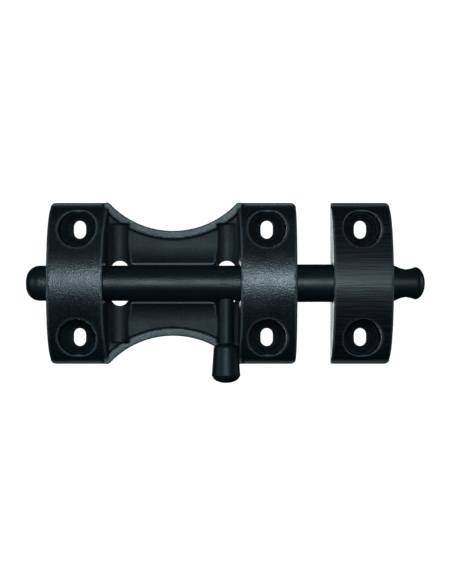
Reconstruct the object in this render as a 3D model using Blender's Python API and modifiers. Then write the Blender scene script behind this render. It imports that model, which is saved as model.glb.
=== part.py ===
"""Toggle bolt latch for a gate.

A round bolt slides and turns in the two arched blocks of the latch body. Its handle is swung up
out of one trough, carried along and lowered into the other. The bolt's nose runs through a
keeper on the post. Everything is modelled lying down: x along the bolt, y up the gate and z out
from the wall. One empty stands the whole latch upright, with the wall behind it at Y = 0.
"""
import math

import bmesh
import bpy
from mathutils import Matrix, Vector

MM = 0.001

# ---- latch body -----------------------------------------------------------------------------
BODY_LENGTH = 105.2 * MM
BODY_HEIGHT = 69.0 * MM
FOOT_THICKNESS = 4.0 * MM
FOOT_LEDGE = 1.7 * MM            # ledge left in front of each arch's foot
CORNER_RADIUS = 2.2 * MM
WAIST_HEIGHT = 44.8 * MM         # height of the body at its narrowest
WAIST_RADIUS = 37.2 * MM
WAIST_STEPS = 20
RIM_WIDTH = 3.3 * MM
RIM_THICKNESS = 7.5 * MM
WEB_THICKNESS = 5.5 * MM

# ---- arched blocks, the same section on body and keeper -------------------------------------
BLOCK_LENGTH = 25.1 * MM
BLOCK_RISE = 27.4 * MM
INNER_DRAFT = math.radians(3.0)  # of the faces beside the handle
OUTER_DRAFT = math.radians(0.4)
BLOCK_EDGE = 0.9 * MM
ARCH_SPREAD = 1.9                # powers of the arch curve
ARCH_FULLNESS = 0.5
ARCH_STEPS = 44

# ---- bolt -----------------------------------------------------------------------------------
BOLT_AXIS = 15.0 * MM            # from the wall
SHAFT_RADIUS = 7.5 * MM
NOSE_RADIUS = 8.0 * MM
BOLT_CLEARANCE = 0.3 * MM        # round the bolt in the blocks and the keeper
CHANNEL_CLEARANCE = 0.55 * MM    # beside the nose between the ridges
TAIL_REACH = 9.1 * MM            # past the latch body
TAIL_CORNER = 5.8 * MM
NOSE_REACH = 13.8 * MM           # past the keeper
NOSE_COVER = 1.8 * MM            # depth of the nose's shoulder inside its block, when locked
NOSE_DOME = 4.2 * MM
NOSE_TIP_RADIUS = 6.9 * MM
NOSE_TAPER = 13.5 * MM
SPIGOT_RADIUS = 5.0 * MM
SPIGOT_LENGTH = 24.0 * MM
PIN_RADIUS = 1.5 * MM
PIN_SETBACK = 12.0 * MM          # from the nose's shoulder
PIN_RECESS = 0.5 * MM            # below the nose's surface
PADLOCK_RADIUS = 3.4 * MM
PADLOCK_SETBACK = 8.6 * MM       # from the nose's end
PADLOCK_FLARE = 1.05 * MM        # of each mouth of the padlock hole
PADLOCK_FLARE_DEPTH = 3.0 * MM
SEAT_GAP = 0.3 * MM              # between pieces that seat on or in each other

# ---- handle and its troughs -----------------------------------------------------------------
SHANK_RADIUS = 3.35 * MM
STUD_RADIUS = 2.3 * MM
STUD_DEPTH = 9.0 * MM            # of the stud in the shaft
SHANK_SINK = 1.1 * MM            # of the shank's shoulder below the shaft's surface
KNOB_START = 25.5 * MM           # from the bolt's axis
KNOB_END = 42.1 * MM
KNOB_NECK_RADIUS = 5.2 * MM
KNOB_RADIUS = 6.1 * MM
KNOB_DOME = 3.3 * MM
KNOB_NECK_ROUND = 0.9 * MM
TANG_RADIUS = 2.5 * MM
TANG_LENGTH = 10.5 * MM
TROUGH_RADIUS = 4.2 * MM
TROUGH_WALL = 0.35 * MM          # between a trough and the block beside it
HANDLE_PLAY = 0.35 * MM          # of the resting handle, off its trough's middle
TROUGH_FLOOR = 2.7 * MM
TROUGH_END = 0.6 * MM            # from a trough's end to the inside of the rim
RIDGE_SETBACK = 0.35 * MM        # from the trough
RIDGE_CLEARANCE = 0.4 * MM       # below the handle's shank
RIDGE_CREST = 1.0 * MM           # width of the crest beside the channel
RIDGE_FLANK = 9.0 * MM           # run of the hollow flank
RIDGE_CORNER = 2.4 * MM
FLANK_STEPS = 7
FLANK_SINK = 0.15 * MM           # of the flank's foot below the web
WINDOW_WIDTH = 8.0 * MM
WINDOW_HEIGHT = 19.3 * MM

# ---- keeper ---------------------------------------------------------------------------------
GATE_GAP = 14.8 * MM             # between latch body and keeper
KEEPER_LENGTH = 25.3 * MM
KEEPER_HEIGHT = 69.0 * MM

# ---- screw places ---------------------------------------------------------------------------
SCREW_SPACING = 46.0 * MM
SLOT_WIDTH = 5.2 * MM
SLOT_HEIGHT = 7.7 * MM
SEAT_STEPS = ((8.0 * MM, 8.6 * MM), (6.5 * MM, 6.6 * MM), (5.45 * MM, 5.0 * MM))  # radius, floor
SEAT_SLOPE = math.radians(35.0)  # of each step's floor, down towards the screw
POCKET_DEPTH = 2.5 * MM
POCKET_WALL = 3.5 * MM
POCKET_RIB = 2.0 * MM
POCKET_HEIGHT = 11.0 * MM
POCKET_CORNER = 2.0 * MM

# ---- friction rings -------------------------------------------------------------------------
RING_SECTION = 0.95 * MM         # radius of the ring's own round section
RING_CLEARANCE = 0.3 * MM

ROUND_STEPS = 48
SMALL_STEPS = 32
CUT = 1.0 * MM                   # how far a cutter runs past the face that it opens

# ---- places that follow from the sizes ------------------------------------------------------
BLOCK_INNER = BODY_LENGTH / 2 - BLOCK_LENGTH
BLOCK_MIDDLE = BODY_LENGTH / 2 - BLOCK_LENGTH / 2
TROUGH_STATION = BLOCK_INNER - TROUGH_RADIUS - TROUGH_WALL
HANDLE_STATION = TROUGH_STATION - HANDLE_PLAY
RIDGE_END = TROUGH_STATION - TROUGH_RADIUS - RIDGE_SETBACK
RIDGE_HEIGHT = BOLT_AXIS - SHANK_RADIUS - RIDGE_CLEARANCE
WAIST_CENTRE = WAIST_HEIGHT / 2 + WAIST_RADIUS
CHANNEL_HALF = math.sqrt(NOSE_RADIUS ** 2 - (BOLT_AXIS - RIDGE_HEIGHT) ** 2) + CHANNEL_CLEARANCE
SHAFT_BORE = SHAFT_RADIUS + BOLT_CLEARANCE
NOSE_BORE = NOSE_RADIUS + BOLT_CLEARANCE
NOSE_START = BLOCK_INNER + NOSE_COVER
KEEPER_START = BODY_LENGTH / 2 + GATE_GAP
KEEPER_MIDDLE = KEEPER_START + KEEPER_LENGTH / 2
NOSE_END = KEEPER_START + KEEPER_LENGTH + NOSE_REACH
TAIL_END = -BODY_LENGTH / 2 - TAIL_REACH
PADLOCK_PLACE = NOSE_END - PADLOCK_SETBACK
PIN_PLACE = NOSE_START + PIN_SETBACK

ALONG_X = Matrix.Rotation(math.pi / 2, 4, "Y")       # turns a piece's own z to the bolt's axis
ALONG_MINUS_Y = Matrix.Rotation(math.pi / 2, 4, "X")  # turns a piece's own z down the gate
LYING = Matrix(((0, 0, 1, 0), (1, 0, 0, 0), (0, 1, 0, 0), (0, 0, 0, 1)))  # lays a prism along x
HALF_STEP = Matrix.Rotation(math.pi / SMALL_STEPS, 4, "Z")  # keeps a hole's edges off the bolt's


# ---- scene helpers --------------------------------------------------------------------------
def clear_scene():
    for item in list(bpy.data.objects):
        bpy.data.objects.remove(item, do_unlink=True)


def new_collection(name):
    collection = bpy.data.collections.new(name)
    bpy.context.scene.collection.children.link(collection)
    return collection


def material(name, colour, roughness, metallic):
    result = bpy.data.materials.new(name)
    result.use_nodes = True
    shader = result.node_tree.nodes["Principled BSDF"]
    shader.inputs["Base Color"].default_value = (*colour, 1.0)
    shader.inputs["Roughness"].default_value = roughness
    shader.inputs["Metallic"].default_value = metallic
    return result


def place(name, mesh, matrix=None):
    """A new part on the latch's empty, shaded smooth up to 35 degrees."""
    item = bpy.data.objects.new(name, mesh)
    PARTS.objects.link(item)
    item.parent = WALL
    item.matrix_local = matrix or Matrix.Identity(4)
    mesh.shade_smooth()
    mesh.set_sharp_from_angle(angle=math.radians(35))
    return item


def guide(name, mesh, matrix=None):
    """A shape that only cuts or joins a part."""
    item = bpy.data.objects.new(name, mesh)
    CUTTERS.objects.link(item)
    item.parent = WALL
    item.matrix_local = matrix or Matrix.Identity(4)
    item.hide_render = True
    item.display_type = "WIRE"
    return item


def boolean(item, other, operation):
    step = item.modifiers.new(f"{operation.lower()} {other.name}", "BOOLEAN")
    step.operation = operation
    step.object = other
    step.solver = "EXACT"


# ---- shape helpers --------------------------------------------------------------------------
def arc(centre, radius, start, end, steps):
    """Points along an arc in a plane, from one angle to another."""
    angles = [start + (end - start) * step / steps for step in range(steps + 1)]
    return [(centre[0] + radius * math.cos(a), centre[1] + radius * math.sin(a)) for a in angles]


def cylinder(name, radius, length, steps=ROUND_STEPS):
    mesh = bpy.data.meshes.new(name)
    shape = bmesh.new()
    bmesh.ops.create_cone(shape, cap_ends=True, segments=steps, radius1=radius, radius2=radius,
                          depth=length)
    shape.to_mesh(mesh)
    shape.free()
    return mesh


def prism(name, outline, low, high):
    """A flat outline in the x-y plane, filled and given its thickness along z."""
    curve = bpy.data.curves.new(name, "CURVE")
    curve.dimensions = "2D"
    curve.fill_mode = "BOTH"
    curve.extrude = (high - low) / 2
    spline = curve.splines.new("POLY")
    spline.points.add(len(outline) - 1)
    for point, (x, y) in zip(spline.points, outline):
        point.co = (x, y, 0, 1)
    spline.use_cyclic_u = True
    drawn = bpy.data.objects.new(name, curve)
    bpy.context.scene.collection.objects.link(drawn)
    seen = drawn.evaluated_get(bpy.context.evaluated_depsgraph_get())
    mesh = bpy.data.meshes.new_from_object(seen)
    bpy.data.objects.remove(drawn)
    mesh.transform(Matrix.Translation((0, 0, (low + high) / 2)))
    shape = bmesh.new()
    shape.from_mesh(mesh)
    bmesh.ops.remove_doubles(shape, verts=shape.verts, dist=0.001 * MM)
    bmesh.ops.recalc_face_normals(shape, faces=shape.faces)
    shape.to_mesh(mesh)
    shape.free()
    return mesh


def profile(name, outline):
    """An open outline of (radius, z) points, for turning about z."""
    mesh = bpy.data.meshes.new(name)
    shape = bmesh.new()
    points = [shape.verts.new((radius, 0, z)) for radius, z in outline]
    for first, second in zip(points, points[1:]):
        shape.edges.new((first, second))
    shape.to_mesh(mesh)
    shape.free()
    return mesh


def turn(item, steps=ROUND_STEPS):
    screw = item.modifiers.new("turned", "SCREW")
    screw.axis = "Z"
    screw.angle = 2 * math.pi
    screw.steps = steps
    screw.render_steps = steps
    screw.use_merge_vertices = True
    screw.merge_threshold = 0.001 * MM
    return item


def round_corners(corners, radii, steps=6):
    """A closed outline whose corners are rounded, each with its own radius."""
    outline = []
    count = len(corners)
    for index, corner in enumerate(corners):
        here = Vector(corner)
        back = (Vector(corners[index - 1]) - here).normalized()
        ahead = (Vector(corners[(index + 1) % count]) - here).normalized()
        radius = radii[index]
        if radius == 0:
            outline.append(tuple(here))
            continue
        half = math.acos(max(-1, min(1, back.dot(ahead)))) / 2
        centre = here + (back + ahead).normalized() * radius / math.sin(half)
        first = here + back * radius / math.tan(half) - centre
        last = here + ahead * radius / math.tan(half) - centre
        start = math.atan2(first.y, first.x)
        sweep = (math.atan2(last.y, last.x) - start + math.pi) % (2 * math.pi) - math.pi
        outline += arc(centre, radius, start, start + sweep, steps)
    return outline


def obround(width, height, steps=SMALL_STEPS // 2):
    """An upright slot outline with round ends."""
    radius = width / 2
    reach = (height - width) / 2
    top = arc((0, reach), radius, 0, math.pi, steps)
    bottom = arc((0, -reach), radius, math.pi, 2 * math.pi, steps)
    return top + bottom


# ---- the arched block -----------------------------------------------------------------------
def arch_outline(height):
    """The arch's section: across the gate, and its rise from the wall."""
    half = height / 2 - FOOT_LEDGE
    outline = [(half, FOOT_THICKNESS / 2)]
    for step in range(ARCH_STEPS + 1):
        angle = math.pi * step / ARCH_STEPS
        side = math.copysign(abs(math.cos(angle)) ** (2 / ARCH_SPREAD), math.cos(angle))
        rise = BLOCK_RISE * max(0, math.sin(angle)) ** (2 * ARCH_FULLNESS)
        if rise > FOOT_THICKNESS:
            outline.append((half * side, rise))
    return outline + [(-half, FOOT_THICKNESS / 2)]


def block(name, start, end, height, start_draft, end_draft):
    """An arched block along x, drafted in towards its crown and rounded along its edges."""
    mesh = prism(name, arch_outline(height), start, end)
    mesh.transform(LYING)
    middle = (start + end) / 2
    for vertex in mesh.vertices:
        if vertex.co.x < middle:
            vertex.co.x += vertex.co.z * math.tan(start_draft)
        else:
            vertex.co.x -= vertex.co.z * math.tan(end_draft)
    item = guide(name, mesh)
    edge = item.modifiers.new("rounded edges", "BEVEL")
    edge.width = BLOCK_EDGE
    edge.segments = 2
    edge.limit_method = "ANGLE"
    edge.angle_limit = math.radians(60)
    edge.use_clamp_overlap = True
    return item


def cut_screw_places(item, label, x):
    """Two stepped screw seats with an upright slot through each, one above the other."""
    steps = [(0, BLOCK_RISE + CUT), (SEAT_STEPS[0][0], BLOCK_RISE + CUT)]
    inner_radii = [radius for radius, floor in SEAT_STEPS[1:]] + [0]
    for (radius, floor), inner in zip(SEAT_STEPS, inner_radii):
        steps += [(radius, floor), (inner, floor - (radius - inner) * math.tan(SEAT_SLOPE))]
    for side, sign in (("top", 1), ("bottom", -1)):
        spot = Matrix.Translation((x, sign * SCREW_SPACING / 2, 0))
        seat = turn(guide(f"seat_{label}_{side}", profile("seat", steps), spot))
        boolean(item, seat, "DIFFERENCE")
        slot = prism("slot", obround(SLOT_WIDTH, SLOT_HEIGHT), -CUT, SEAT_STEPS[-1][1] + CUT)
        boolean(item, guide(f"slot_{label}_{side}", slot, spot), "DIFFERENCE")


def cut_back_pockets(item, label, x, length):
    """Two shallow pockets in the back of a block, either side of a rib."""
    half = length / 2 - POCKET_WALL
    corners = [(-half, 0), (half, 0), (half, POCKET_HEIGHT), (-half, POCKET_HEIGHT)]
    for side, low in (("top", POCKET_RIB / 2), ("bottom", -POCKET_RIB / 2 - POCKET_HEIGHT)):
        outline = round_corners(corners, [POCKET_CORNER] * 4)
        pocket = prism("pocket", outline, -CUT, POCKET_DEPTH)
        spot = Matrix.Translation((x, low, 0))
        boolean(item, guide(f"pocket_{label}_{side}", pocket, spot), "DIFFERENCE")


def cut_bore(item, label, radius, start, end):
    spot = Matrix.Translation(((start + end) / 2, 0, BOLT_AXIS)) @ ALONG_X
    boolean(item, guide(f"bore_{label}", cylinder("bore", radius, end - start), spot), "DIFFERENCE")


# ---- latch body -----------------------------------------------------------------------------
def waist_arc(radius, half_chord, steps):
    """Points of the upper waist curve from right to left, as far out as half_chord."""
    spread = math.asin(half_chord / radius)
    return arc((0, WAIST_CENTRE), radius, -math.pi / 2 + spread, -math.pi / 2 - spread, steps)


def foot_outline():
    """The body's outline: two ends with rounded outer corners, joined by the waist."""
    x = BODY_LENGTH / 2
    y = BODY_HEIGHT / 2
    chord = math.sqrt(WAIST_RADIUS ** 2 - (WAIST_CENTRE - y) ** 2)
    inner = min(chord, BLOCK_INNER)
    corners = [(inner, -y), (x, -y), (x, y), (inner, y)]
    right = round_corners(corners, [0, CORNER_RADIUS, CORNER_RADIUS, 0])
    top = waist_arc(WAIST_RADIUS, inner, WAIST_STEPS)[1:-1]
    left = [(-px, -py) for px, py in right]
    bottom = [(-px, -py) for px, py in top]
    return right + top + left + bottom


def web_outline(inset, half_length):
    """The outline of the web, set in from the waist's edge and cut off square at its ends."""
    top = waist_arc(WAIST_RADIUS + inset, half_length, WAIST_STEPS + 1)
    return top + [(-px, -py) for px, py in top]


def foot_top_outline(start):
    """All that lies past start, where the body is cut down to the foot's thickness."""
    end = math.copysign(BODY_LENGTH / 2 + CUT, start)
    y = BODY_HEIGHT / 2 + CUT
    return [(start, -y), (end, -y), (end, y), (start, y)]


def build_latch_body(finish):
    mesh = prism("latch_body", foot_outline(), 0, RIM_THICKNESS)
    item = place("latch_body", mesh)
    item.data.materials.append(finish)
    inside = BLOCK_INNER + BLOCK_EDGE + CUT
    web_top = prism("web_top", web_outline(RIM_WIDTH, inside + CUT), WEB_THICKNESS, BLOCK_RISE)
    boolean(item, guide("web_top", web_top), "DIFFERENCE")
    for label, sign in (("left", -1), ("right", 1)):
        foot_top = prism("foot_top", foot_top_outline(sign * inside), FOOT_THICKNESS, BLOCK_RISE)
        boolean(item, guide(f"foot_top_{label}", foot_top), "DIFFERENCE")
        cut_back_pockets(item, label, sign * BLOCK_MIDDLE, BLOCK_LENGTH)
        ends = sorted((sign * BLOCK_INNER, sign * BODY_LENGTH / 2))
        drafts = (OUTER_DRAFT, INNER_DRAFT)[::-sign]
        boolean(item, block(f"block_{label}", *ends, BODY_HEIGHT, *drafts), "UNION")
    add_ridges(item)
    cut_bore(item, "shaft", SHAFT_BORE, -BODY_LENGTH / 2 - CUT, -BLOCK_INNER)
    cut_bore(item, "nose", NOSE_BORE, BLOCK_INNER, BODY_LENGTH / 2 + CUT)
    for label, sign, seat in (("left", -1, SHAFT_RADIUS), ("right", 1, NOSE_RADIUS)):
        cut_trough(item, label, sign * TROUGH_STATION)
        cut_ring_groove(item, label, sign * BLOCK_MIDDLE, seat)
        cut_screw_places(item, label, sign * BLOCK_MIDDLE)


def add_ridges(item):
    """The two flat-topped ridges that line the bolt's channel between the troughs."""
    crest = CHANNEL_HALF + RIDGE_CREST
    foot = crest + RIDGE_FLANK
    root = WEB_THICKNESS - CUT
    drop = RIDGE_HEIGHT - WEB_THICKNESS + FLANK_SINK
    hollow = [(crest + RIDGE_FLANK * (1 - math.cos(a)), RIDGE_HEIGHT - drop * math.sin(a))
              for a in (math.pi / 2 * step / FLANK_STEPS for step in range(FLANK_STEPS + 1))]
    above = RIDGE_HEIGHT + CUT
    section = hollow + [(foot + CUT, WEB_THICKNESS - FLANK_SINK), (foot + CUT, above), (crest, above)]
    corners = [(-RIDGE_END, CHANNEL_HALF), (RIDGE_END, CHANNEL_HALF),
               (RIDGE_END, foot), (-RIDGE_END, foot)]
    plan = round_corners(corners, [RIDGE_CORNER, RIDGE_CORNER, 0, 0])
    for label, sign in (("top", 1), ("bottom", -1)):
        outline = [(x, sign * y) for x, y in plan]
        ridge = guide(f"ridge_{label}", prism("ridge", outline, root, RIDGE_HEIGHT))
        reach = RIDGE_END + CUT
        flank = prism("flank", [(sign * y, z) for y, z in section], -reach, reach)
        flank.transform(LYING)
        boolean(ridge, guide(f"flank_{label}", flank), "DIFFERENCE")
        boolean(item, ridge, "UNION")


def cut_trough(item, label, x):
    """A round-bottomed trough for the handle, and the window through it under the bolt."""
    centre = TROUGH_FLOOR + TROUGH_RADIUS
    section = arc((0, centre), TROUGH_RADIUS, math.pi, 2 * math.pi, SMALL_STEPS // 2)
    section += [(TROUGH_RADIUS, BOLT_AXIS), (-TROUGH_RADIUS, BOLT_AXIS)]
    edge = WAIST_CENTRE - math.sqrt((WAIST_RADIUS + RIM_WIDTH) ** 2 - x ** 2) - TROUGH_END
    trough = prism("trough", section, -edge, edge)
    spot = Matrix.Translation((x, 0, 0)) @ ALONG_MINUS_Y
    boolean(item, guide(f"trough_{label}", trough, spot), "DIFFERENCE")
    window = prism("window", obround(WINDOW_WIDTH, WINDOW_HEIGHT), -CUT, BOLT_AXIS)
    spot = Matrix.Translation((x, 0, 0))
    boolean(item, guide(f"window_{label}", window, spot), "DIFFERENCE")


def ring_radii(seat):
    """Inner and outer radius of the friction ring that runs on a bolt of radius seat."""
    inner = seat + RING_CLEARANCE
    return inner, inner + 2 * RING_SECTION


def cut_ring_groove(item, label, x, seat):
    outer = ring_radii(seat)[1] + RING_CLEARANCE
    half = RING_SECTION + RING_CLEARANCE
    cut_bore(item, f"groove_{label}", outer, x - half, x + half)


# ---- keeper ---------------------------------------------------------------------------------
def build_keeper(finish):
    y = KEEPER_HEIGHT / 2
    start = KEEPER_START
    end = KEEPER_START + KEEPER_LENGTH
    corners = [(start, -y), (end, -y), (end, y), (start, y)]
    outline = round_corners(corners, [0, CORNER_RADIUS, CORNER_RADIUS, 0])
    item = place("keeper", prism("keeper", outline, 0, FOOT_THICKNESS))
    item.data.materials.append(finish)
    cut_back_pockets(item, "keeper", KEEPER_MIDDLE, KEEPER_LENGTH)
    arch = block("block_keeper", start, end, KEEPER_HEIGHT, OUTER_DRAFT, OUTER_DRAFT)
    boolean(item, arch, "UNION")
    cut_bore(item, "keeper", NOSE_BORE, start - CUT, end + CUT)
    cut_screw_places(item, "keeper", KEEPER_MIDDLE)


# ---- friction rings -------------------------------------------------------------------------
def build_ring(label, x, seat, finish):
    inner, outer = ring_radii(seat)
    mesh = bpy.data.meshes.new(f"ring_{label}")
    shape = bmesh.new()
    across = arc(((inner + outer) / 2, 0), RING_SECTION, 0, 2 * math.pi, 12)[:-1]
    loop = [shape.verts.new((radius, 0, z)) for radius, z in reversed(across)]
    for first, second in zip(loop, loop[1:] + loop[:1]):
        shape.edges.new((first, second))
    shape.to_mesh(mesh)
    shape.free()
    spot = Matrix.Translation((x, 0, BOLT_AXIS)) @ ALONG_X
    item = turn(place(f"ring_{label}", mesh, spot), SMALL_STEPS)
    item.data.materials.append(finish)


# ---- bolt -----------------------------------------------------------------------------------
def on_axis(x):
    """A piece turned about its own z, laid along the bolt with z = 0 at x."""
    return Matrix.Translation((x, 0, BOLT_AXIS)) @ ALONG_X


def down_from_axis(x):
    """A piece turned about its own z, hung from the bolt's axis with z pointing down the gate."""
    return Matrix.Translation((x, 0, BOLT_AXIS)) @ ALONG_MINUS_Y


def build_bolt_rod(finish):
    """The shaft, its rounded tail and the spigot that carries the nose."""
    spigot_end = NOSE_START + SPIGOT_LENGTH
    tail = arc((SHAFT_RADIUS - TAIL_CORNER, TAIL_END + TAIL_CORNER), TAIL_CORNER, 0, -math.pi / 2, 10)
    outline = [(0, spigot_end), (SPIGOT_RADIUS, spigot_end), (SPIGOT_RADIUS, NOSE_START),
               (SHAFT_RADIUS, NOSE_START)]
    outline += tail + [(0, TAIL_END)]
    item = turn(place("bolt_rod", profile("bolt_rod", outline), on_axis(0)))
    item.data.materials.append(finish)
    cut_stud_hole(item)
    cut_pin_hole(item, "rod")


def cut_stud_hole(item):
    """The hole for the handle's stud, with a seat for the shank's shoulder."""
    shoulder = SHAFT_RADIUS - SHANK_SINK
    seat = shoulder - SEAT_GAP
    stud = STUD_RADIUS + SEAT_GAP
    shank = SHANK_RADIUS + SEAT_GAP
    bottom = shoulder - STUD_DEPTH - SEAT_GAP
    outline = [(0, SHAFT_RADIUS + CUT), (shank, SHAFT_RADIUS + CUT), (shank, seat), (stud, seat),
               (stud, bottom), (0, bottom)]
    spot = down_from_axis(HANDLE_STATION) @ HALF_STEP
    hole = turn(guide("stud_hole", profile("stud_hole", outline), spot), SMALL_STEPS)
    boolean(item, hole, "DIFFERENCE")


def cut_pin_hole(item, label):
    mesh = cylinder("pin_hole", PIN_RADIUS + SEAT_GAP, 2 * NOSE_RADIUS + 2 * CUT, SMALL_STEPS)
    spot = Matrix.Translation((PIN_PLACE, 0, BOLT_AXIS)) @ HALF_STEP
    boolean(item, guide(f"pin_hole_{label}", mesh, spot), "DIFFERENCE")


def build_bolt_nose(finish):
    """The thicker nose over the rod's spigot, tapered to a domed end with a padlock hole."""
    taper_start = NOSE_END - NOSE_DOME - NOSE_TAPER
    dome_start = NOSE_END - NOSE_DOME
    dome = [(NOSE_TIP_RADIUS * math.sin(a), dome_start + NOSE_DOME * math.cos(a))
            for a in (math.pi / 2 * step / 9 for step in range(10))]
    start = NOSE_START + SEAT_GAP
    socket = SPIGOT_RADIUS + SEAT_GAP
    socket_end = NOSE_START + SPIGOT_LENGTH + SEAT_GAP
    outline = dome + [(NOSE_RADIUS, taper_start), (NOSE_RADIUS, start), (socket, start),
                      (socket, socket_end), (0, socket_end)]
    item = turn(place("bolt_nose", profile("bolt_nose", outline), on_axis(0)))
    item.data.materials.append(finish)
    cut_pin_hole(item, "nose")
    reach = NOSE_RADIUS + CUT
    waist = NOSE_RADIUS - PADLOCK_FLARE_DEPTH
    slope = PADLOCK_FLARE / PADLOCK_FLARE_DEPTH
    mouth = PADLOCK_RADIUS + slope * (reach - waist)
    flared = [(0, reach), (mouth, reach), (PADLOCK_RADIUS, waist), (PADLOCK_RADIUS, -waist),
              (mouth, -reach), (0, -reach)]
    spot = down_from_axis(PADLOCK_PLACE) @ HALF_STEP
    hole = turn(guide("padlock_hole", profile("padlock_hole", flared), spot), SMALL_STEPS)
    boolean(item, hole, "DIFFERENCE")


def build_nose_pin(finish):
    length = 2 * (NOSE_RADIUS - PIN_RECESS)
    spot = Matrix.Translation((PIN_PLACE, 0, BOLT_AXIS))
    item = place("nose_pin", cylinder("nose_pin", PIN_RADIUS, length, SMALL_STEPS), spot)
    item.data.materials.append(finish)


# ---- handle ---------------------------------------------------------------------------------
def build_handle_stud(finish):
    """The handle's shank, with a stud into the shaft above and a tang in the knob below."""
    shoulder = SHAFT_RADIUS - SHANK_SINK
    tang_end = KNOB_START + TANG_LENGTH
    stud_end = shoulder - STUD_DEPTH
    outline = [(0, tang_end), (TANG_RADIUS, tang_end), (TANG_RADIUS, KNOB_START),
               (SHANK_RADIUS, KNOB_START), (SHANK_RADIUS, shoulder), (STUD_RADIUS, shoulder),
               (STUD_RADIUS, stud_end), (0, stud_end)]
    spot = down_from_axis(HANDLE_STATION)
    item = turn(place("handle_stud", profile("handle_stud", outline), spot), SMALL_STEPS)
    item.data.materials.append(finish)


def build_knob(finish):
    """The flared knob with its domed end and the socket for the tang."""
    start = KNOB_START + SEAT_GAP
    dome_start = KNOB_END - KNOB_DOME
    dome = [(KNOB_RADIUS * math.sin(a), dome_start + KNOB_DOME * math.cos(a))
            for a in (math.pi / 2 * step / 8 for step in range(9))]
    neck = arc((KNOB_NECK_RADIUS - KNOB_NECK_ROUND, start + KNOB_NECK_ROUND), KNOB_NECK_ROUND,
               0, -math.pi / 2, 4)
    socket = TANG_RADIUS + SEAT_GAP
    socket_end = KNOB_START + TANG_LENGTH + SEAT_GAP
    outline = dome + neck + [(socket, start), (socket, socket_end), (0, socket_end)]
    spot = down_from_axis(HANDLE_STATION)
    item = turn(place("knob", profile("knob", outline), spot), SMALL_STEPS)
    item.data.materials.append(finish)


# ---- the latch ------------------------------------------------------------------------------
clear_scene()
PARTS = new_collection("toggle_bolt_latch")
CUTTERS = new_collection("cutters")
WALL = bpy.data.objects.new("wall", None)
PARTS.objects.link(WALL)
WALL.rotation_euler = (math.pi / 2, 0, 0)

build_latch_body(material("body_black", (0.020, 0.024, 0.026), 0.55, 0.0))
build_keeper(material("keeper_black", (0.020, 0.024, 0.026), 0.55, 0.0))
build_bolt_rod(material("rod_black", (0.018, 0.022, 0.024), 0.35, 0.0))
build_bolt_nose(material("nose_black", (0.018, 0.022, 0.024), 0.35, 0.0))
build_nose_pin(material("pin_steel", (0.30, 0.30, 0.31), 0.35, 1.0))
build_handle_stud(material("stud_black", (0.018, 0.022, 0.024), 0.35, 0.0))
build_knob(material("knob_black", (0.018, 0.022, 0.024), 0.30, 0.0))
for label, x, seat in (("left", -BLOCK_MIDDLE, SHAFT_RADIUS), ("right", BLOCK_MIDDLE, NOSE_RADIUS)):
    build_ring(label, x, seat, material(f"ring_{label}_rubber", (0.015, 0.015, 0.016), 0.7, 0.0))
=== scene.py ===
import math

import bmesh
import bpy
import numpy as np
from mathutils import Matrix, Vector


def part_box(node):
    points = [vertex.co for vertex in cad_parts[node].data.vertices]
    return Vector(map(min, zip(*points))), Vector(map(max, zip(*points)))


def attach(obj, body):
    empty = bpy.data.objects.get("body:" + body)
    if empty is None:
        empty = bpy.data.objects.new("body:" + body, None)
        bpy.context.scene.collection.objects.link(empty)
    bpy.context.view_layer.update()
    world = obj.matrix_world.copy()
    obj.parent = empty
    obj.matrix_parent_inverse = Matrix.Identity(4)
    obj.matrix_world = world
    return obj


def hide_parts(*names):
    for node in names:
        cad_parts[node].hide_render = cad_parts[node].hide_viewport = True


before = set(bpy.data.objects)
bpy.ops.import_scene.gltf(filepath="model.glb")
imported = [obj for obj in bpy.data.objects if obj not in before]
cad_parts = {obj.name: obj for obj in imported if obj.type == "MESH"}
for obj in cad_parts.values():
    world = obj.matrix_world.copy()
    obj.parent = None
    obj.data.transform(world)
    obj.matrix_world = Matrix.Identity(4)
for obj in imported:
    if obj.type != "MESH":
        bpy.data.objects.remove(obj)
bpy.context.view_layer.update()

MM = 0.001

# ---- sizes shared with the CAD pieces -------------------------------------------------------
ROD_LOW, ROD_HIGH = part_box("bolt_rod")
NOSE_LOW, NOSE_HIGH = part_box("bolt_nose")
STUD_LOW, STUD_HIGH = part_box("handle_stud")
KNOB_LOW, KNOB_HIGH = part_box("knob")
PIN_LOW, PIN_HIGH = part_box("nose_pin")
BODY_LOW, BODY_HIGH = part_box("latch_body")
AXIS_Y = (ROD_LOW.y + ROD_HIGH.y) / 2
SHAFT_RADIUS = (ROD_HIGH.z - ROD_LOW.z) / 2
NOSE_RADIUS = (NOSE_HIGH.z - NOSE_LOW.z) / 2
HANDLE_X = (STUD_LOW.x + STUD_HIGH.x) / 2
PIN_X = (PIN_LOW.x + PIN_HIGH.x) / 2
SHANK_RADIUS = (STUD_HIGH.x - STUD_LOW.x) / 2
KNOB_RADIUS = (KNOB_HIGH.x - KNOB_LOW.x) / 2
SEAT_GAP = 0.3 * MM              # between pieces that seat on or in each other
NOSE_SHOULDER = NOSE_LOW.x - SEAT_GAP
SPIGOT_RADIUS = 5.0 * MM
STUD_RADIUS = 2.3 * MM
TANG_RADIUS = 2.5 * MM
KNOB_START = 25.5 * MM
TANG_END = 36.0 * MM
SHANK_SHOULDER = 6.4 * MM
STUD_DEPTH = 9.0 * MM
PIN_HOLE_RADIUS = 1.8 * MM
KNOB_NECK_RADIUS = 5.3 * MM
PADLOCK_SETBACK = 8.6 * MM       # of the padlock hole from the nose's tip
PADLOCK_X = NOSE_HIGH.x - PADLOCK_SETBACK
BLOCK_RISE = -BODY_LOW.y
FOOT_STEP = 1.7 * MM             # how far the foot stands past each end of an arch
ARCH_HALF = BODY_HIGH.z - FOOT_STEP
WAIST_RADIUS = 37.2 * MM
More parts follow.
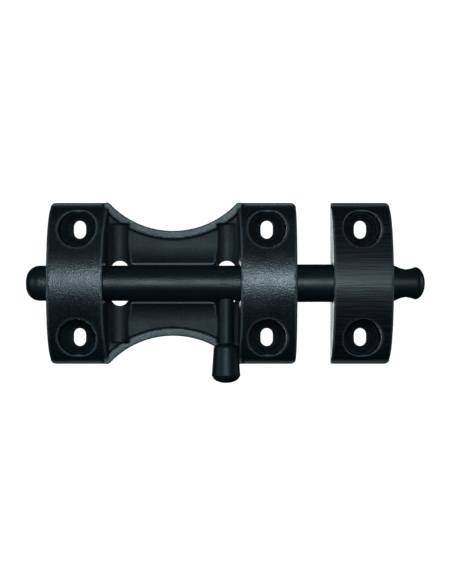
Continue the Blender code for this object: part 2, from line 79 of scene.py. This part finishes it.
WAIST_HEIGHT = 44.8 * MM
WAIST_CENTRE = WAIST_HEIGHT / 2 + WAIST_RADIUS
RIM_WIDTH = 3.3 * MM
WEB_HALF = 29.4 * MM
ARCH_SPREAD = 1.9                # exponents of the arch's curve, see arch_rise
ARCH_FULLNESS = 0.5


# ---- finishes -------------------------------------------------------------------------------
def add_node(tree, kind, place, **values):
    node = tree.nodes.new(kind)
    node.location = place
    for key, value in values.items():
        if key in node.inputs:
            node.inputs[key].default_value = value
        else:
            setattr(node, key, value)
    return node


def ramp(tree, place, low, high, stops):
    node = tree.nodes.new("ShaderNodeValToRGB")
    node.location = place
    node.color_ramp.elements[0].position = low
    node.color_ramp.elements[0].color = (*stops[0], 1)
    node.color_ramp.elements[1].position = high
    node.color_ramp.elements[1].color = (*stops[1], 1)
    return node


def coat(name, dark, light, rough, grain, depth, stretch=(1, 1, 1), wear_and_highlight=2.0, sheen=0.5, recess=0.0):
    """A finish that is grainy, paler along its edges where it is worn and where a highlight is painted
    on, uneven in gloss and duller where it lies low.
    """
    paint = bpy.data.materials.new(name)
    paint.use_nodes = True
    tree = paint.node_tree
    shader = tree.nodes["Principled BSDF"]
    place = add_node(tree, "ShaderNodeTexCoord", (-1500, 0))
    turned_place = add_node(tree, "ShaderNodeMapping", (-1300, 0))
    turned_place.inputs["Scale"].default_value = stretch
    tree.links.new(place.outputs["Object"], turned_place.inputs["Vector"])
    sand = add_node(tree, "ShaderNodeTexNoise", (-1050, 250), Scale=grain, Detail=2.0, Roughness=0.6)
    blotch = add_node(tree, "ShaderNodeTexNoise", (-1050, -50), Scale=grain / 4, Detail=3.0,
                      Roughness=0.5)
    cloud = add_node(tree, "ShaderNodeTexNoise", (-1050, -350), Scale=90.0, Detail=3.0, Roughness=0.55)
    for noise in (sand, blotch, cloud):
        tree.links.new(turned_place.outputs["Vector"], noise.inputs["Vector"])
    edge = add_node(tree, "ShaderNodeAttribute", (-1050, 550), attribute_name="edge")
    tint = ramp(tree, (-750, 250), 0.38, 0.66, (dark, light))
    tree.links.new(sand.outputs["Fac"], tint.inputs["Fac"])
    # Along convex edges the base colour is raised towards a scaled pale tone: partly wear where the
    # coat runs thin, partly a painted highlight along the edges.
    worn_and_highlit = add_node(tree, "ShaderNodeMix", (-400, 300), data_type="RGBA")
    worn_and_highlit.inputs[7].default_value = (*[channel * wear_and_highlight for channel in light], 1)
    tree.links.new(edge.outputs["Fac"], worn_and_highlit.inputs[0])
    tree.links.new(tint.outputs["Color"], worn_and_highlit.inputs[6])
    tree.links.new(worn_and_highlit.outputs[2], shader.inputs["Base Color"])
    gloss = add_node(tree, "ShaderNodeMapRange", (-700, -250))
    gloss.inputs["From Min"].default_value = 0.35
    gloss.inputs["From Max"].default_value = 0.65
    gloss.inputs["To Min"].default_value = rough[0]
    gloss.inputs["To Max"].default_value = rough[1]
    tree.links.new(cloud.outputs["Fac"], gloss.inputs["Value"])
    low = add_node(tree, "ShaderNodeAttribute", (-1050, -600), attribute_name="recess")
    duller = add_node(tree, "ShaderNodeMath", (-700, -550), operation="MULTIPLY")
    duller.inputs[1].default_value = recess
    tree.links.new(low.outputs["Fac"], duller.inputs[0])
    rougher = add_node(tree, "ShaderNodeMath", (-450, -400), operation="ADD")
    tree.links.new(gloss.outputs["Result"], rougher.inputs[0])
    tree.links.new(duller.outputs["Value"], rougher.inputs[1])
    tree.links.new(rougher.outputs["Value"], shader.inputs["Roughness"])
    shader.inputs["Specular IOR Level"].default_value = sheen
    shader.inputs["Specular Tint"].default_value = (0.68, 0.91, 1.0, 1)
    height = add_node(tree, "ShaderNodeMath", (-700, 0), operation="MULTIPLY_ADD")
    height.inputs[1].default_value = 0.3
    tree.links.new(blotch.outputs["Fac"], height.inputs[0])
    tree.links.new(sand.outputs["Fac"], height.inputs[2])
    bump = add_node(tree, "ShaderNodeBump", (-400, -100), Strength=1.0, Distance=depth)
    tree.links.new(height.outputs["Value"], bump.inputs["Height"])
    tree.links.new(bump.outputs["Normal"], shader.inputs["Normal"])
    return paint


# On the two castings the pale edge lift is strong: partly wear, partly a painted highlight along their
# edges.
SAND_COAT = coat("sand_textured_black_coat", (0.001, 0.002, 0.003), (0.007, 0.011, 0.013),
                 (0.28, 0.36), 1500.0, 0.12 * MM, wear_and_highlight=14.0, sheen=0.33, recess=0.32)
KEEPER_COAT = coat("keeper_black_coat", (0.001, 0.002, 0.003), (0.007, 0.010, 0.012),
                   (0.37, 0.45), 1500.0, 0.08 * MM, (0.04, 1, 1), wear_and_highlight=14.0, sheen=0.19, recess=0.2)
SHAFT_COAT = coat("shaft_satin_black_coat", (0.001, 0.003, 0.004), (0.003, 0.007, 0.009),
                  (0.34, 0.42), 2000.0, 0.12 * MM, (0.6, 1, 1), sheen=0.22)
NOSE_COAT = coat("nose_satin_black_coat", (0.001, 0.003, 0.004), (0.003, 0.007, 0.009),
                 (0.36, 0.44), 2000.0, 0.06 * MM, sheen=0.20)
HANDLE_COAT = coat("handle_satin_black_coat", (0.001, 0.003, 0.004), (0.003, 0.007, 0.009),
                   (0.40, 0.50), 2000.0, 0.10 * MM, sheen=0.18)
RUBBER = coat("moulded_ring_rubber", (0.008, 0.008, 0.009), (0.016, 0.016, 0.017),
              (0.65, 0.80), 2500.0, 0.01 * MM)
STEEL = coat("drawn_pin_steel", (0.24, 0.24, 0.25), (0.36, 0.36, 0.37),
             (0.28, 0.40), 2500.0, 0.005 * MM, (1, 1, 0.1))
STEEL.node_tree.nodes["Principled BSDF"].inputs["Metallic"].default_value = 1.0


# ---- shaping helpers ------------------------------------------------------------------------
def arc(centre_radius, centre_z, radius, start, end, steps):
    """Outline points (distance from the axis, place along it) round a quarter or so of a circle."""
    return [(centre_radius + radius * math.cos(start + (end - start) * step / steps),
             centre_z + radius * math.sin(start + (end - start) * step / steps))
            for step in range(steps + 1)]


def quarter_dome(radius, start, height, steps):
    """Outline points from a dome's tip, at start + height on the axis, down to its rim."""
    return [(radius * math.sin(math.pi / 2 * step / steps),
             start + height * math.cos(math.pi / 2 * step / steps)) for step in range(steps + 1)]


def turned(outline, steps):
    """A closed round shape: an outline of (radius, z) from tip to tip, spun about z."""
    shape = bmesh.new()
    points = [shape.verts.new((radius, 0, z)) for radius, z in outline]
    for first, second in zip(points, points[1:]):
        shape.edges.new((first, second))
    bmesh.ops.spin(shape, geom=shape.verts[:] + shape.edges[:], cent=(0, 0, 0), axis=(0, 0, 1),
                   angle=2 * math.pi, steps=steps, use_merge=True, use_duplicate=False)
    bmesh.ops.remove_doubles(shape, verts=shape.verts, dist=0.001 * MM)
    bmesh.ops.recalc_face_normals(shape, faces=shape.faces)
    return shape


def to_mesh(name, shape, matrix=None):
    """Finishes a bmesh as a mesh with its place in its own vertices."""
    if matrix:
        shape.transform(matrix)
    mesh = bpy.data.meshes.new(name)
    shape.to_mesh(mesh)
    shape.free()
    return mesh


def add_object(name, mesh):
    item = bpy.data.objects.new(name, mesh)
    bpy.context.scene.collection.objects.link(item)
    return item


def applied(item):
    """Fixes an object's modifiers into its mesh."""
    bpy.context.view_layer.update()
    seen = item.evaluated_get(bpy.context.evaluated_depsgraph_get())
    mesh = bpy.data.meshes.new_from_object(seen)
    item.modifiers.clear()
    old = item.data
    item.data = mesh
    bpy.data.meshes.remove(old)


def cut_away(item, cutter_mesh):
    cutter = add_object("cutter", cutter_mesh)
    step = item.modifiers.new("cut", "BOOLEAN")
    step.operation = "DIFFERENCE"
    step.solver = "EXACT"
    step.object = cutter
    applied(item)
    bpy.data.objects.remove(cutter)


def skin(item, voxel, passes):
    """Gives a piece one even skin of small faces and eases all its edges."""
    remesh = item.modifiers.new("even skin", "REMESH")
    remesh.mode = "VOXEL"
    remesh.voxel_size = voxel
    remesh.use_smooth_shade = True
    ease = item.modifiers.new("eased edges", "SMOOTH")
    ease.factor = 0.5
    ease.iterations = passes
    applied(item)


def read_points(mesh, what):
    values = np.empty(len(mesh.vertices) * 3)
    mesh.vertices.foreach_get(what, values)
    return values.reshape(-1, 3)


def mark_edges(mesh, reach):
    """Stores how sharply each point stands out, for the wear and the painted highlight along the coat's
    edges.
    """
    count = len(mesh.vertices)
    place = read_points(mesh, "co")
    normal = read_points(mesh, "normal")
    pairs = np.empty(len(mesh.edges) * 2, dtype=np.int32)
    mesh.edges.foreach_get("vertices", pairs)
    first, second = pairs.reshape(-1, 2).T
    along = place[second] - place[first]
    along /= np.linalg.norm(along, axis=1)[:, None] + 1e-12
    number = np.maximum(1, np.bincount(first, minlength=count) + np.bincount(second, minlength=count))
    out_first = -(normal[first] * along).sum(axis=1)
    out_second = (normal[second] * along).sum(axis=1)
    sharp = np.bincount(first, out_first, count) + np.bincount(second, out_second, count)
    sharp = np.maximum(0, sharp / number)
    soft = np.bincount(first, sharp[second], count) + np.bincount(second, sharp[first], count)
    soft /= number
    layer = mesh.attributes.new("edge", "FLOAT", "POINT")
    layer.data.foreach_set("value", np.clip((soft - 0.03) / reach, 0, 1).astype(np.float32))


def finish_piece(item, body, node, coat_material, reach=0.30):
    """Smooth shading, edge wear and painted edge highlight, finish, and the CAD piece that it stands
    for.
    """
    mesh = item.data
    low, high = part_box(node)
    mesh.vertices.foreach_set("co", np.clip(read_points(mesh, "co"), low, high).ravel())
    mesh.update()
    mesh.materials.clear()
    mesh.materials.append(coat_material)
    mesh.shade_smooth()
    mark_edges(mesh, reach)
    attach(item, body)
    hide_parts(node)


ALONG_BOLT = Matrix.Translation((0, AXIS_Y, 0)) @ Matrix.Rotation(math.pi / 2, 4, "Y")
HANGING = Matrix.Translation((HANDLE_X, AXIS_Y, 0)) @ Matrix.Rotation(math.pi, 4, "X")


# ---- castings -------------------------------------------------------------------------------
def arch_rise(z):
    """How far the arch stands off the wall at each height z."""
    side = np.minimum(1.0, np.abs(z) / ARCH_HALF)
    return BLOCK_RISE * np.maximum(0.0, 1 - side ** ARCH_SPREAD) ** ARCH_FULLNESS


def fair_arches(mesh):
    """Moves the skin of the arches onto one smooth curve."""
    step = 0.05 * MM
    place = read_points(mesh, "co")
    rise = arch_rise(place[:, 2])
    slope = (arch_rise(place[:, 2] + step) - arch_rise(place[:, 2] - step)) / (2 * step)
    off = (-place[:, 1] - rise) / np.sqrt(1 + slope ** 2)
    across = np.abs(read_points(mesh, "normal")[:, 0])
    near = (np.abs(off) < 0.09 * MM) & (rise > 5 * MM) & (across < 0.15)
    place[near, 1] = -rise[near]
    mesh.vertices.foreach_set("co", place.ravel())
    mesh.update()


def mark_recess(mesh):
    """Stores how far each point sinks below the arches, for the duller coat there, most on the web."""
    x, y, z = read_points(mesh, "co").T
    low = 0.3 * np.clip((y + 24 * MM) / (12 * MM), 0, 1)
    from_rim = np.hypot(x, np.abs(z) - WAIST_CENTRE) - WAIST_RADIUS - RIM_WIDTH
    web = np.clip(from_rim / MM, 0, 1) * (np.abs(x) < WEB_HALF) * (y > -12 * MM)
    layer = mesh.attributes.new("recess", "FLOAT", "POINT")
    layer.data.foreach_set("value", np.maximum(low, web).astype(np.float32))


def casting(name, node, voxel):
    """A casting grown from the CAD piece, with eased edges and smooth arches."""
    shape = bmesh.new()
    shape.from_mesh(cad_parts[node].data)
    bmesh.ops.remove_doubles(shape, verts=shape.verts, dist=0.001 * MM)
    item = add_object(name, to_mesh(name, shape))
    skin(item, voxel, 3)
    fair_arches(item.data)
    mark_recess(item.data)
    return item


body_casting = casting("body_casting", "latch_body", 0.57 * MM)
finish_piece(body_casting, "root", "latch_body", SAND_COAT)
keeper_casting = casting("keeper_casting", "keeper", 0.45 * MM)
finish_piece(keeper_casting, "root", "keeper", KEEPER_COAT)


# ---- bolt -----------------------------------------------------------------------------------
def pin_cutter():
    length = 2 * NOSE_RADIUS + 2 * MM
    shape = bmesh.new()
    bmesh.ops.create_cone(shape, cap_ends=True, segments=48, radius1=PIN_HOLE_RADIUS,
                          radius2=PIN_HOLE_RADIUS, depth=length)
    place = Matrix.Translation((PIN_X, AXIS_Y, 0)) @ Matrix.Rotation(math.pi / 2, 4, "X")
    return to_mesh("pin_cutter", shape, place)


def bolt_shaft():
    corner = 5.8 * MM
    tail = arc(SHAFT_RADIUS - corner, ROD_LOW.x + corner, corner, 0, -math.pi / 2, 24)
    outline = [(0, ROD_HIGH.x), (SPIGOT_RADIUS, ROD_HIGH.x), (SPIGOT_RADIUS, NOSE_SHOULDER),
               (SHAFT_RADIUS, NOSE_SHOULDER)] + tail + [(0, ROD_LOW.x)]
    item = add_object("bolt_shaft", to_mesh("bolt_shaft", turned(outline, 160), ALONG_BOLT))
    shank = SHANK_RADIUS + SEAT_GAP
    stud = STUD_RADIUS + SEAT_GAP
    seat = SHANK_SHOULDER - SEAT_GAP
    bottom = SHANK_SHOULDER - STUD_DEPTH - SEAT_GAP
    mouth = SHAFT_RADIUS + MM
    hole = [(0, mouth), (shank, mouth), (shank, seat), (stud, seat), (stud, bottom), (0, bottom)]
    cut_away(item, to_mesh("stud_cutter", turned(hole, 72), HANGING))
    cut_away(item, pin_cutter())
    skin(item, 0.36 * MM, 2)
    return item


def bolt_nose():
    dome = 4.2 * MM
    tip = 6.9 * MM
    dome_start = NOSE_HIGH.x - dome
    outline = quarter_dome(tip, dome_start, dome, 20)
    outline += [(NOSE_RADIUS, dome_start - 13.5 * MM), (NOSE_RADIUS, NOSE_LOW.x + 0.5 * MM),
                (NOSE_RADIUS - 0.5 * MM, NOSE_LOW.x), (SPIGOT_RADIUS + SEAT_GAP, NOSE_LOW.x),
                (SPIGOT_RADIUS + SEAT_GAP, ROD_HIGH.x + SEAT_GAP), (0, ROD_HIGH.x + SEAT_GAP)]
    item = add_object("bolt_nose_turned", to_mesh("bolt_nose_turned", turned(outline, 160), ALONG_BOLT))
    mouth = 4.9 * MM
    bore = 3.4 * MM
    reach = NOSE_RADIUS + MM
    waist = NOSE_RADIUS - 3 * MM
    hole = [(0, reach), (mouth, reach), (bore + 0.35 * MM, waist + 0.9 * MM), (bore, waist - 0.6 * MM),
            (bore, -waist + 0.6 * MM), (bore + 0.35 * MM, -waist - 0.9 * MM),
            (mouth, -reach), (0, -reach)]
    place = Matrix.Translation((PADLOCK_X, AXIS_Y, 0))
    cut_away(item, to_mesh("padlock_cutter", turned(hole, 96), place))
    cut_away(item, pin_cutter())
    skin(item, 0.34 * MM, 3)
    return item


finish_piece(bolt_shaft(), "bolt", "bolt_rod", SHAFT_COAT)
finish_piece(bolt_nose(), "bolt", "bolt_nose", NOSE_COAT)


# ---- handle ---------------------------------------------------------------------------------
def handle_shank():
    stud_end = SHANK_SHOULDER - STUD_DEPTH
    outline = [(0, TANG_END), (TANG_RADIUS, TANG_END), (TANG_RADIUS, KNOB_START),
               (SHANK_RADIUS, KNOB_START), (SHANK_RADIUS, SHANK_SHOULDER),
               (STUD_RADIUS, SHANK_SHOULDER), (STUD_RADIUS, stud_end), (0, stud_end)]
    item = add_object("handle_shank", to_mesh("handle_shank", turned(outline, 96), HANGING))
    skin(item, 0.24 * MM, 2)
    return item


def handle_knob():
    start = KNOB_START + SEAT_GAP
    end = -KNOB_LOW.z
    lip = end - 3.3 * MM
    round_off = 1.9 * MM
    crown = 5.75 * MM
    dome = quarter_dome(crown, lip + 0.3 * MM, end - lip - 0.3 * MM, 14)
    edge = [(KNOB_RADIUS - 0.15 * MM, lip + 0.45 * MM), (KNOB_RADIUS, lip + 0.1 * MM),
            (KNOB_RADIUS, lip - 0.3 * MM), (KNOB_RADIUS - 0.12 * MM, lip - 0.8 * MM)]
    neck = arc(KNOB_NECK_RADIUS - round_off, start + round_off, round_off, 0, -math.pi / 2, 12)
    socket = TANG_RADIUS + SEAT_GAP
    socket_end = TANG_END + SEAT_GAP
    outline = dome + edge + neck + [(socket, start), (socket, socket_end), (0, socket_end)]
    item = add_object("handle_knob", to_mesh("handle_knob", turned(outline, 128), HANGING))
    skin(item, 0.24 * MM, 2)
    return item


finish_piece(handle_shank(), "bolt", "handle_stud", HANDLE_COAT)
finish_piece(handle_knob(), "bolt", "knob", HANDLE_COAT)


# ---- small CAD pieces that stay -------------------------------------------------------------
for node, finish in (("nose_pin", STEEL), ("ring_left", RUBBER), ("ring_right", RUBBER)):
    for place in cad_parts[node].material_slots:
        place.material = finish


# ---- studio ---------------------------------------------------------------------------------
def pale_floor():
    shape = bmesh.new()
    bmesh.ops.create_grid(shape, x_segments=8, y_segments=8, size=4.0)
    below = Matrix.Translation((0, 0, -0.30))
    floor = add_object("studio_floor", to_mesh("studio_floor", shape, below))
    white = bpy.data.materials.new("studio_white")
    white.use_nodes = True
    shader = white.node_tree.nodes["Principled BSDF"]
    shader.inputs["Base Color"].default_value = (0.92, 0.92, 0.92, 1)
    shader.inputs["Roughness"].default_value = 0.9
    shader.inputs["Emission Color"].default_value = (1, 1, 1, 1)
    shader.inputs["Emission Strength"].default_value = 1.1
    floor.data.materials.append(white)
    floor.visible_diffuse = False
    floor.visible_glossy = False


def softbox(name, place, target, width, height, power, colour=(1, 1, 1)):
    lamp = bpy.data.lights.new(name, "AREA")
    lamp.shape = "RECTANGLE"
    lamp.size = width
    lamp.size_y = height
    lamp.energy = power
    lamp.color = colour
    item = bpy.data.objects.new(name, lamp)
    bpy.context.scene.collection.objects.link(item)
    item.location = place
    item.rotation_euler = (Vector(target) - Vector(place)).to_track_quat("-Z", "Y").to_euler()


def studio_world():
    """White to the eye, dim to everything that reflects it."""
    world = bpy.data.worlds.new("studio")
    bpy.context.scene.world = world
    world.use_nodes = True
    tree = world.node_tree
    tree.nodes.clear()
    out = tree.nodes.new("ShaderNodeOutputWorld")
    seen = tree.nodes.new("ShaderNodeBackground")
    seen.inputs["Color"].default_value = (1, 1, 1, 1)
    seen.inputs["Strength"].default_value = 1.1
    felt = tree.nodes.new("ShaderNodeBackground")
    felt.inputs["Color"].default_value = (0.62, 0.95, 1.0, 1)
    felt.inputs["Strength"].default_value = 0.02
    path = tree.nodes.new("ShaderNodeLightPath")
    mix = tree.nodes.new("ShaderNodeMixShader")
    tree.links.new(path.outputs["Is Camera Ray"], mix.inputs[0])
    tree.links.new(felt.outputs[0], mix.inputs[1])
    tree.links.new(seen.outputs[0], mix.inputs[2])
    tree.links.new(mix.outputs[0], out.inputs["Surface"])


bpy.context.scene.view_settings.view_transform = "Standard"
CAMERA_PLACE = Vector((22.6 * MM, -790.0 * MM, -3.7 * MM))


def camera():
    lens = bpy.data.cameras.new("camera")
    lens.sensor_width = 36.0
    lens.sensor_fit = "AUTO"
    lens.lens = 113.2
    lens.dof.use_dof = False
    lens.clip_start = 0.01
    item = bpy.data.objects.new("camera", lens)
    bpy.context.scene.collection.objects.link(item)
    item.location = CAMERA_PLACE
    item.rotation_euler = (math.pi / 2, 0, 0)
    bpy.context.scene.camera = item


pale_floor()
softbox("front_softbox", (0.02, -0.95, 0.09), (0.02, 0, 0), 0.18, 0.18, 8.0)
softbox("overhead_softbox", (0.0, -0.2, 0.9), (0, 0, 0), 0.8, 0.6, 0.3)
softbox("left_softbox", (-0.75, -0.45, 0.06), (0, 0, 0), 0.4, 0.4, 2.4, (0.80, 0.95, 1.0))
softbox("right_softbox", (0.90, 0.10, 0.10), (0, 0, 0), 0.4, 0.4, 1.2)
softbox("back_softbox", (-0.15, 0.95, 0.00), (0, 0, 0), 0.6, 0.6, 3.5)
studio_world()
camera()
